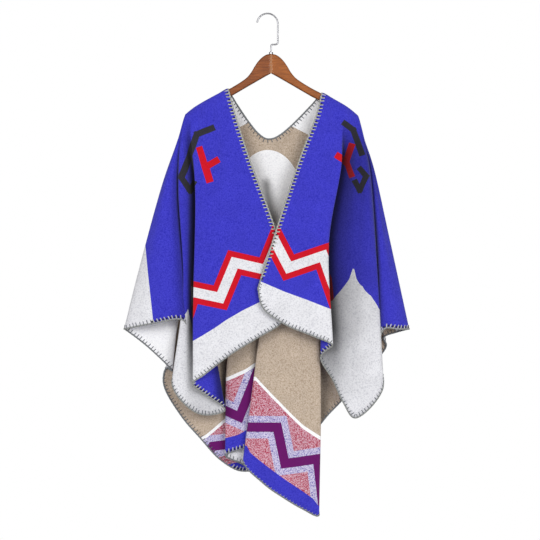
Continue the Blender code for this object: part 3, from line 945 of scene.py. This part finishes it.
def sheet_mesh_data(sheet, first_material):
    """Points, faces, face materials, attributes and surface of one sheet with both its faces."""
    grid, normals, fold = dressed_surface(sheet)
    on_ridge = ridge_columns(sheet)
    on_arm = np.array([not is_on_neckline(x, sheet.side) for x in grid[0, :, 0]])
    for array in (grid, normals):
        array[:, on_ridge, 1] = 0.0
        array[0, on_arm, 1] = 0.0
    normals /= np.linalg.norm(normals, axis=2, keepdims=True)
    up = height_up(grid)
    outer_fields = outer_areas(sheet, grid, fold, up)
    inner_fields = inner_areas(sheet, grid, fold, up)
    rows, columns = fold.shape
    outer = (grid + normals * WALL / 2).reshape(-1, 3)
    inner = (grid - normals * WALL / 2).reshape(-1, 3)
    count = len(outer)
    faces, kinds = [], []
    first_inner = first_material + (len(BACK_BANDS) if sheet.side > 0 else 1)
    for r in range(rows - 1):
        for c in range(columns - 1):
            a = r * columns + c
            quad = (a, a + 1, a + columns + 1, a + columns)[::-sheet.side]
            faces.append(quad)
            faces.append(tuple(i + count for i in reversed(quad)))
            kinds.append(first_material + layer_number(sheet, fold[r, c], BACK_BANDS))
            kinds.append(first_inner + layer_number(sheet, fold[r, c], INNER_LAYERS))
    edges = [[r * columns + c % columns for r in range(rows)] for c in (0, -1) if c not in on_ridge]
    edges.append([(rows - 1) * columns + c for c in range(columns)])
    if sheet.side > 0:
        edges.append([c for c in range(columns) if not on_arm[c]])
    for edge in edges:
        for a, b in zip(edge, edge[1:]):
            faces.append((a, b, b + count, a + count))
            kinds.append(first_material)
    attributes = {"rest_place": grid, "cloth_area": outer_fields, "cloth_inner": inner_fields}
    values = {key: np.tile(value.reshape(-1, 3), (2, 1)) for key, value in attributes.items()}
    # Painted shade of the valleys on the outer face and painted shadows on the inner face
    shades = [shade(sheet, grid, fold).ravel() for shade in (valley_shade, shadow_shade)]
    values["fold_shade"] = np.repeat(np.concatenate(shades)[:, None], 3, axis=1)
    fields = np.concatenate([outer_fields, inner_fields, fold[..., None]], axis=2)
    surface = Surface(grid, normals, on_arm, fields)
    return np.concatenate([outer, inner]), faces, kinds, values, surface


def add_piece(name, mesh):
    piece = bpy.data.objects.new(name, mesh)
    bpy.context.scene.collection.objects.link(piece)
    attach(piece, "root")
    return piece


def add_wrap():
    """The whole cloth as one shell over the three sheets."""
    points, faces, kinds, values = [], [], [], {}
    surfaces = {}
    materials = []
    for sheet in SHEETS:
        start = sum(len(p) for p in points)
        some_points, some_faces, some_kinds, some_values, surface = sheet_mesh_data(sheet, len(materials))
        points.append(some_points)
        faces += [tuple(i + start for i in face) for face in some_faces]
        kinds += some_kinds
        for key, value in some_values.items():
            values.setdefault(key, []).append(value)
        surfaces[sheet.name] = surface
        if sheet.side < 0:
            materials.append(outer_material(sheet.name + "_outer", FRONT_ZIGZAGS[sheet.name]))
            materials.append(inner_material(sheet.name + "_inner", ()))
        else:
            for band in BACK_BANDS:
                materials.append(outer_material("back_outer_" + band.name, zigzag_corners(band)))
            for layer in INNER_LAYERS:
                materials.append(inner_material("back_inner_" + layer.name, layer.zigzag))
    mesh = bpy.data.meshes.new("wrap_cloth")
    mesh.from_pydata((np.concatenate(points) * MM).tolist(), [], faces)
    for key, parts in values.items():
        layer = mesh.attributes.new(key, "FLOAT_VECTOR", "POINT")
        layer.data.foreach_set("vector", np.concatenate(parts).astype(np.float32).ravel())
    for made in materials:
        mesh.materials.append(made)
    mesh.polygons.foreach_set("material_index", kinds)
    form = bmesh.new()
    form.from_mesh(mesh)
    bmesh.ops.remove_doubles(form, verts=form.verts, dist=SEW_DISTANCE * MM)
    form.to_mesh(mesh)
    form.free()
    mesh.shade_smooth()
    mesh.update()
    wrap = add_piece("wrap_cloth", mesh)
    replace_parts(wrap, "front_left", "front_right", "back")
    return wrap, surfaces


def lengths_along(points):
    """How far along a row of points each one lies."""
    steps = np.linalg.norm(np.diff(points, axis=0), axis=1)
    return np.concatenate([[0.0], np.cumsum(steps)])


class Strip:
    """A free edge of a sheet, sampled at even steps inward from it.

    values runs along the edge in its first axis and inward from it in its second, and holds each
    place's point, normal and fields in its third. Places are found by their distances.
    """

    def __init__(self, values):
        depths = STRIP_STEP * np.arange(STRIP_STEPS + 1)
        sampled = np.zeros((len(values), len(depths), values.shape[2]))
        for line, found in zip(values, sampled):
            reach = lengths_along(line[:, :3])
            for k in range(values.shape[2]):
                found[:, k] = np.interp(depths, reach, line[:, k])
        self.points, self.normals, self.fields = np.split(sampled, (3, 6), axis=2)
        self.along = lengths_along(self.points[:, 0])
        self.length = self.along[-1]

    def at(self, values, along, inward):
        i = int(np.clip(np.searchsorted(self.along, along) - 1, 0, len(self.along) - 2))
        span = max(self.along[i + 1] - self.along[i], 1e-6)
        share = min(max((along - self.along[i]) / span, 0.0), 1.0)
        j = min(int(inward / STRIP_STEP), STRIP_STEPS - 1)
        part = min(inward / STRIP_STEP - j, 1.0)
        line = values[i] * (1 - share) + values[i + 1] * share
        return line[j] * (1 - part) + line[j + 1] * part

    def lean_at(self, along):
        """How far the strip's inward lines lean along the edge, for each millimetre inward."""
        point, _, way = self.frame_at(along, 0.0)
        inward = 2 * STRIP_STEP
        lean = (self.at(self.points, along, inward) - point) @ way / inward
        return min(max(lean, -STITCH_MOST_LEAN), STITCH_MOST_LEAN)

    def frame_at(self, along, inward):
        """Point, unit normal, and unit direction along the edge."""
        normal = self.at(self.normals, along, inward)
        normal = normal / max(np.linalg.norm(normal), 1e-6)
        ahead = self.at(self.points, min(along + STRIP_STEP / 2, self.length), inward)
        way = ahead - self.at(self.points, max(along - STRIP_STEP / 2, 0.0), inward)
        way -= normal * (way @ normal)
        return self.at(self.points, along, inward), normal, way / max(np.linalg.norm(way), 1e-6)


def free_edges(sheet, surface):
    """The name and strip of every free edge of a sheet."""
    values = np.concatenate([surface.grid, surface.normals, surface.fields], axis=2)
    if sheet.side < 0:
        yield "slit", Strip(values[SLIT_FIRST_ROW:, :SLIT_COLUMNS])
    yield "hem", Strip(np.swapaxes(values[:-EDGE_ROWS - 1:-1], 0, 1))
    if sheet.side > 0:
        first, last = np.flatnonzero(~surface.on_arm)[[0, -1]]
        yield "neck", Strip(np.swapaxes(values[:EDGE_ROWS, first:last + 1], 0, 1))


def ring_round(centre, first, second):
    """Points round a centre, on the ellipse of two half axes."""
    turns = [math.tau * k / RING_SIDES for k in range(RING_SIDES)]
    return [centre + first * math.cos(turn) + second * math.sin(turn) for turn in turns]


class YarnMesh:
    """Gathers yarn pieces and painted shadow spots into one mesh with a tone for each point."""

    def __init__(self):
        self.points, self.faces, self.tones = [], [], []

    def tube(self, rings, tone):
        """A closed tube through rings of equal count."""
        start, count = len(self.points), len(rings[0])
        for ring in rings:
            self.points += [tuple(point) for point in ring]
            self.tones += [tone] * count
        for r in range(len(rings) - 1):
            for c in range(count):
                a, b = start + r * count + c, start + r * count + (c + 1) % count
                self.faces.append((a, b, b + count, a + count))
        self.faces.append(tuple(reversed(range(start, start + count))))
        end = start + (len(rings) - 1) * count
        self.faces.append(tuple(range(end, end + count)))

    def tooth(self, strip, along, face, stitch):
        """One stitch from the edge inward over a face: a flat diamond section that tapers."""
        rings = []
        lean = strip.lean_at(along)
        reach = min(stitch.length / math.sqrt(1.0 - lean**2), STITCH_MOST_REACH)
        for share in (0.0, 0.5, 1.0):
            shifted = along + (stitch.slant - lean * reach) * share
            point, normal, way = strip.frame_at(shifted, reach * share)
            width = stitch.root_width * (1 - share) + stitch.tip_width * share
            base = point + normal * face * (WALL / 2 - STITCH_SINK)
            rings.append((base - way * width / 2, base + normal * face * STITCH_RISE,
                          base + way * width / 2, base - normal * face * STITCH_ROOT))
        self.tube(rings, stitch.tone)

    def shadow_spot(self, strip, along, face):
        """A painted shadow between two stitches, next to the edge: a small dark patch on the cloth."""
        lean = strip.lean_at(along)
        point, normal, way = strip.frame_at(along - lean * SHADOW_SPOT_FROM_EDGE, SHADOW_SPOT_FROM_EDGE)
        base = point + normal * face * (WALL / 2)
        ring = ring_round(base, way * SHADOW_SPOT_HALF_WIDTH, np.cross(normal, way) * SHADOW_SPOT_HALF_LENGTH)
        self.tube([[place + normal * face * height for place in ring] for height in SHADOW_SPOT_HEIGHTS], -1.0)

    def cord(self, strip, tone_at):
        """The yarn that lies along the edge itself."""
        rings, tones = [], []
        steps = int(strip.length / CORD_STEP)
        for step in range(steps + 1):
            along = strip.length * step / steps
            point, normal, way = strip.frame_at(along, 0.0)
            radius = CORD_RADIUS * (1.0 + CORD_SWELL * math.sin(math.tau * along / STITCH_PITCH))
            rings.append(ring_round(point, normal * radius * CORD_DEPTH, np.cross(normal, way) * radius))
            tones += [tone_at(along)] * RING_SIDES
        start = len(self.tones)
        self.tube(rings, 0.0)
        self.tones[start:] = tones


def face_is_blue(strip, along, face):
    """Whether the cloth under a stitch is blue. face is 1 for the outer face, -1 for the inner."""
    border, _, _, _, below_blue, pale, _ = strip.at(strip.fields, along, 2 * STRIP_STEP)
    if face > 0:
        return border > 0
    return below_blue > 0 and pale < 0


def is_rolled_under(strip, along, sheet):
    """Whether the hem rolls so far under that only the ends of its stitches show, as on the tail."""
    fold = strip.at(strip.fields, along, 0.0)[6]
    return sheet.side > 0 and TAIL_HEM_FOLDS[0] < fold < TAIL_HEM_FOLDS[1]


def yarn_material():
    made, m, shader = material("edging_yarn")
    place = m.position()
    tone = m.attribute("yarn_tone")["Fac"]
    dark, light = heather(m, place, DARK_EDGING), heather(m, place, LIGHT_EDGING)
    colour = m.mix(m.ramp(tone, 0.0, 1.0), dark, light)
    # Painted shadow: a negative tone gives the dark colour of the shadow spots
    colour = m.mix(m.ramp(m.times(tone, -1.0), 0.0, 1.0), colour, STITCH_SHADOW)
    m.feed(shader.inputs["Base Color"], colour)
    set_inputs(shader, {"Roughness": 0.9, "Sheen Weight": 0.1})
    return made


def cord_tone(name, sheet, strip, along):
    """How pale the cord is: palest along the slit where the cloth is blue, darkest behind."""
    wave = 0.5 + 0.5 * math.sin(math.tau * along / STITCH_PITCH)
    if name == "slit" and face_is_blue(strip, along, 1):
        return 0.2 + 0.7 * wave
    return 0.15 + 0.35 * wave if sheet.side < 0 else 0.05 + 0.15 * wave


def stitch_for(name, sheet, strip, along, face, number):
    """The stitch for a place: pale over blue cloth, dark over pale cloth, short where rolled."""
    if name == "hem" and face < 0 and is_rolled_under(strip, along, sheet):
        return ROLLED_STITCH
    if face_is_blue(strip, along, face):
        return PALE_STITCH._replace(slant=-PALE_STITCH.slant) if name == "slit" else PALE_STITCH
    return DARK_STITCH._replace(length=DARK_STITCH.length * (0.95 + 0.1 * math.sin(number * 1.7)))


def add_edging(surfaces):
    """Blanket stitch: a cord round every free edge and slanting stitches over both faces."""
    yarn = YarnMesh()
    for sheet in SHEETS:
        for name, strip in free_edges(sheet, surfaces[sheet.name]):
            yarn.cord(strip, lambda along: cord_tone(name, sheet, strip, along))
            count = int(strip.length / STITCH_PITCH)
            for i in range(count):
                along = (i + 0.5) * strip.length / count
                drift = 0.5 * math.sin(i * 2.4) + 0.3 * math.sin(i * 5.1)
                for face in (1, -1):
                    stitch = stitch_for(name, sheet, strip, along, face, i)
                    yarn.tooth(strip, along + drift, face, stitch)
                    # A painted shadow spot beside each pale stitch
                    if stitch.tone == PALE_STITCH.tone:
                        yarn.shadow_spot(strip, along + SHADOW_SPOT_FROM_STITCH, face)
    mesh = bpy.data.meshes.new("edge_stitching")
    mesh.from_pydata([tuple(c * MM for c in point) for point in yarn.points], [], yarn.faces)
    layer = mesh.attributes.new("yarn_tone", "FLOAT", "POINT")
    layer.data.foreach_set("value", yarn.tones)
    mesh.materials.append(yarn_material())
    mesh.shade_smooth()
    mesh.update()
    return add_piece("edge_stitching", mesh)


def arm_outline():
    """Upper edge, round end and under edge of one arm, as distances from the centre line."""
    outline = [tuple(place) for place in smooth_curve(WOOD_SHOULDER, [6] * (len(WOOD_SHOULDER) - 1))]
    shoulder_end = WOOD_SHOULDER[-1][0]
    for step in range(1, 13):
        out = shoulder_end + step / 12 * ARM_TOP_SHARE * (ARM_REACH - shoulder_end)
        outline.append((out, shoulder_z(HANGER_CENTRE_X + out) - ARM_UNDER_CLOTH))
    tip_z = shoulder_z(HANGER_CENTRE_X + ARM_REACH) - ARM_UNDER_CLOTH - ARM_HEIGHT / 2
    outline += [(ARM_REACH + out, tip_z + rise) for out, rise in ARM_TIP]
    for step in range(9):
        out = ARM_UNDER_START + (shoulder_end - ARM_UNDER_START) * step / 8
        outline.append((out, shoulder_z(HANGER_CENTRE_X + out) - ARM_UNDER_CLOTH - ARM_HEIGHT))
    return outline + list(WOOD_UNDER)


def arc(x, z, radius, start, end, steps):
    """Places along an arc round (x, z), between two angles in degrees."""
    turns = [math.radians(start + (end - start) * step / steps) for step in range(steps + 1)]
    return [(x + radius * math.cos(turn), z + radius * math.sin(turn)) for turn in turns]


def mesh_of_curve(data, points, cyclic, made):
    """A mesh from curve data with one line through the points, which are in millimetres."""
    spline = data.splines.new("POLY")
    spline.points.add(len(points) - 1)
    for point, place in zip(spline.points, points):
        point.co = (*(c * MM for c in place), 1.0)
    spline.use_cyclic_u = cyclic
    holder = bpy.data.objects.new("holder", data)
    bpy.context.scene.collection.objects.link(holder)
    mesh = bpy.data.meshes.new_from_object(holder.evaluated_get(bpy.context.evaluated_depsgraph_get()))
    bpy.data.objects.remove(holder)
    mesh.materials.clear()
    mesh.materials.append(made)
    return mesh


def wood_material(arm):
    """Lacquered wood: grain along the arm, with painted shade on the edges that face up or down."""
    made, m, shader = material("wood_" + arm.side)
    place = m.position()
    stretch = m.node("ShaderNodeMapping")
    m.feed(stretch.inputs["Vector"], place)
    set_inputs(stretch, {"Rotation": (0.0, math.radians(-arm.hand * GRAIN_ANGLE), 0.0),
                         "Scale": (9.0, 60.0, 95.0)})
    grain = m.ramp(m.noise(stretch.outputs[0], 3.2, 4.0, 0.6), 0.36, 0.66)
    patches = m.ramp(m.noise(place, 34.0, 2.0, 0.5), 0.35, 0.7)
    normal = m.parts(m.node("ShaderNodeNewGeometry").outputs["Normal"])
    # Painted shade: darker where the surface faces up or down
    edge = m.ramp(m.math("ABSOLUTE", normal[2]), 0.25, 0.8)
    from_centre = m.subtract(m.times(m.parts(place)[0], 1 / MM), HANGER_CENTRE_X)
    joint = m.below(m.math("ABSOLUTE", from_centre), JOINT_HALF_WIDTH)
    colour = m.mix(grain, arm.wood, arm.streak)
    colour = m.mix(m.times(patches, 0.4), colour, WOOD_PATCH)
    colour = m.mix(m.times(edge, 0.85), colour, WOOD_EDGE_SHADE)
    colour = m.mix(m.times(joint, 0.55), colour, WOOD_JOINT)
    m.feed(shader.inputs["Base Color"], colour)
    set_inputs(shader, {"Roughness": 0.38, "Specular IOR Level": 0.2, "Coat Weight": 0.16,
                        "Coat Roughness": 0.08})
    m.feed(shader.inputs["Normal"], m.bump(grain, 0.15, 0.0005))
    return made


def add_hanger_arm(arm):
    """One arm with rounded edges: its outline drawn flat, given its thickness, and set upright."""
    name = "hanger_arm_" + arm.side
    data = bpy.data.curves.new(name, "CURVE")
    data.dimensions = "2D"
    data.fill_mode = "BOTH"
    data.extrude = (ARM_HALF_THICKNESS - ARM_EDGE_RADIUS) * MM
    data.bevel_depth = ARM_EDGE_RADIUS * MM
    data.bevel_resolution = 6
    data.offset = -ARM_EDGE_RADIUS * MM
    outline = [(HANGER_CENTRE_X + arm.hand * (out + SEAM_GAP / 2), z, 0.0) for out, z in arm_outline()]
    mesh = mesh_of_curve(data, outline, True, wood_material(arm))
    for vertex in mesh.vertices:
        x, y, z = vertex.co
        vertex.co = (x, -z, y)
    form = bmesh.new()
    form.from_mesh(mesh)
    bmesh.ops.recalc_face_normals(form, faces=form.faces)
    form.to_mesh(mesh)
    form.free()
    mesh.set_sharp_from_angle(angle=math.radians(40.0))
    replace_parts(add_piece(name + "_wood", mesh), name)


def chrome_material():
    made, m, shader = material("hook_chrome")
    wear = m.ramp(m.noise(m.position(), 160.0, 2.0, 0.5), 0.3, 0.7)
    m.feed(shader.inputs["Base Color"], m.mix(wear, srgb(176, 176, 180), srgb(150, 150, 154)))
    set_inputs(shader, {"Metallic": 1.0, "Roughness": 0.3})
    return made


def add_hook(made):
    """Bent wire: the crook round the rod, the leg, a small jog and the stem into the wood."""
    path = arc(0.0, WIRE_RADIUS - CROOK_RADIUS, CROOK_RADIUS, CROOK_END_ANGLE, 0.0, 48)
    path += arc(CROOK_RADIUS - HOOK_JOG, HOOK_LEG_BOTTOM, HOOK_JOG, 0.0, -90.0, 8)
    path += arc(HANGER_CENTRE_X + STEM_BEND, HOOK_LEG_BOTTOM - HOOK_JOG - STEM_BEND,
                STEM_BEND, 90.0, 180.0, 8)
    path.append((HANGER_CENTRE_X, WOOD_TOP + SEAM_GAP))
    data = bpy.data.curves.new("hook_wire", "CURVE")
    data.dimensions = "3D"
    data.bevel_depth = WIRE_RADIUS * MM
    data.bevel_resolution = 4
    data.use_fill_caps = True
    mesh = mesh_of_curve(data, [(x, 0.0, z) for x, z in path], False, made)
    mesh.shade_smooth()
    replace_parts(add_piece("hook_wire_visual", mesh), "hanger_hook")


def add_collar(made):
    """A turned ring with a rounded top round the stem."""
    base, inner = WOOD_TOP + SEAM_GAP, WIRE_RADIUS + SEAM_GAP
    profile = [(inner, base), (COLLAR_RADIUS, base)]
    profile += arc(COLLAR_RADIUS - COLLAR_ROUNDING, base + COLLAR_HEIGHT - COLLAR_ROUNDING,
                   COLLAR_ROUNDING, 0.0, 90.0, 6)
    profile.append((inner, base + COLLAR_HEIGHT))
    sides, count = 48, len(profile)
    points, faces = [], []
    for s in range(sides):
        angle = math.tau * s / sides
        for radius, z in profile:
            points.append(((HANGER_CENTRE_X + radius * math.cos(angle)) * MM,
                           radius * math.sin(angle) * MM, z * MM))
        ahead = ((s + 1) % sides - s) * count
        for k in range(count):
            a, b = s * count + k, s * count + (k + 1) % count
            faces.append((a, a + ahead, b + ahead, b))
    mesh = bpy.data.meshes.new("collar_ring")
    mesh.from_pydata(points, [], faces)
    mesh.materials.append(made)
    mesh.set_sharp_from_angle(angle=math.radians(40.0))
    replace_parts(add_piece("collar_ring", mesh), "hook_collar")


def add_camera():
    centre_x = (FRAME_PIXELS / 2 - AXIS_PIXEL_X) * PIXEL * MM
    centre_z = -(FRAME_PIXELS / 2 - AXIS_PIXEL_Z) * PIXEL * MM
    data = bpy.data.cameras.new("camera")
    data.sensor_width = SENSOR
    data.lens = CAMERA_DISTANCE * SENSOR / (FRAME_PIXELS * PIXEL * MM)
    camera = bpy.data.objects.new("camera", data)
    camera.location = (centre_x, -CAMERA_DISTANCE, centre_z)
    camera.rotation_euler = (math.radians(90.0), 0.0, 0.0)
    bpy.context.scene.collection.objects.link(camera)
    bpy.context.scene.camera = camera


def add_light(light):
    data = bpy.data.lights.new(light.name, "AREA")
    data.size = light.size
    data.energy = light.power
    lamp = bpy.data.objects.new(light.name, data)
    lamp.location = light.place
    aim = LIGHTS_AIM - Vector(light.place)
    lamp.rotation_euler = aim.to_track_quat("-Z", "Y").to_euler()
    bpy.context.scene.collection.objects.link(lamp)


def add_studio():
    """White behind the part, a weaker white light from all round, the lamps and the floor."""
    scene = bpy.context.scene
    scene.view_settings.view_transform = "Standard"
    world = bpy.data.worlds.new("studio")
    scene.world = world
    world.use_nodes = True
    tree = world.node_tree
    background = tree.nodes["Background"]
    seen = tree.nodes.new("ShaderNodeBackground")
    set_inputs(background, {"Color": (1.0, 1.0, 1.0, 1.0), "Strength": AMBIENT})
    set_inputs(seen, {"Color": (1.0, 1.0, 1.0, 1.0), "Strength": 1.0})
    path = tree.nodes.new("ShaderNodeLightPath")
    choice = tree.nodes.new("ShaderNodeMixShader")
    tree.links.new(path.outputs["Is Camera Ray"], choice.inputs[0])
    tree.links.new(background.outputs[0], choice.inputs[1])
    tree.links.new(seen.outputs[0], choice.inputs[2])
    tree.links.new(choice.outputs[0], tree.nodes["World Output"].inputs[0])
    for light in LIGHTS:
        add_light(light)
    mesh = bpy.data.meshes.new("floor")
    form = bmesh.new()
    bmesh.ops.create_circle(form, cap_ends=True, segments=96, radius=FLOOR_RADIUS)
    form.to_mesh(mesh)
    form.free()
    floor = bpy.data.objects.new("floor", mesh)
    floor.location.z = FLOOR_Z
    made, _, shader = material("pale_floor")
    set_inputs(shader, {"Base Color": (0.9, 0.9, 0.9, 1.0), "Roughness": 0.9})
    mesh.materials.append(made)
    scene.collection.objects.link(floor)


add_camera()
add_studio()
wrap, surfaces = add_wrap()
edging = add_edging(surfaces)
for arm in HANGER_ARMS:
    add_hanger_arm(arm)
chrome = chrome_material()
add_hook(chrome)
add_collar(chrome)
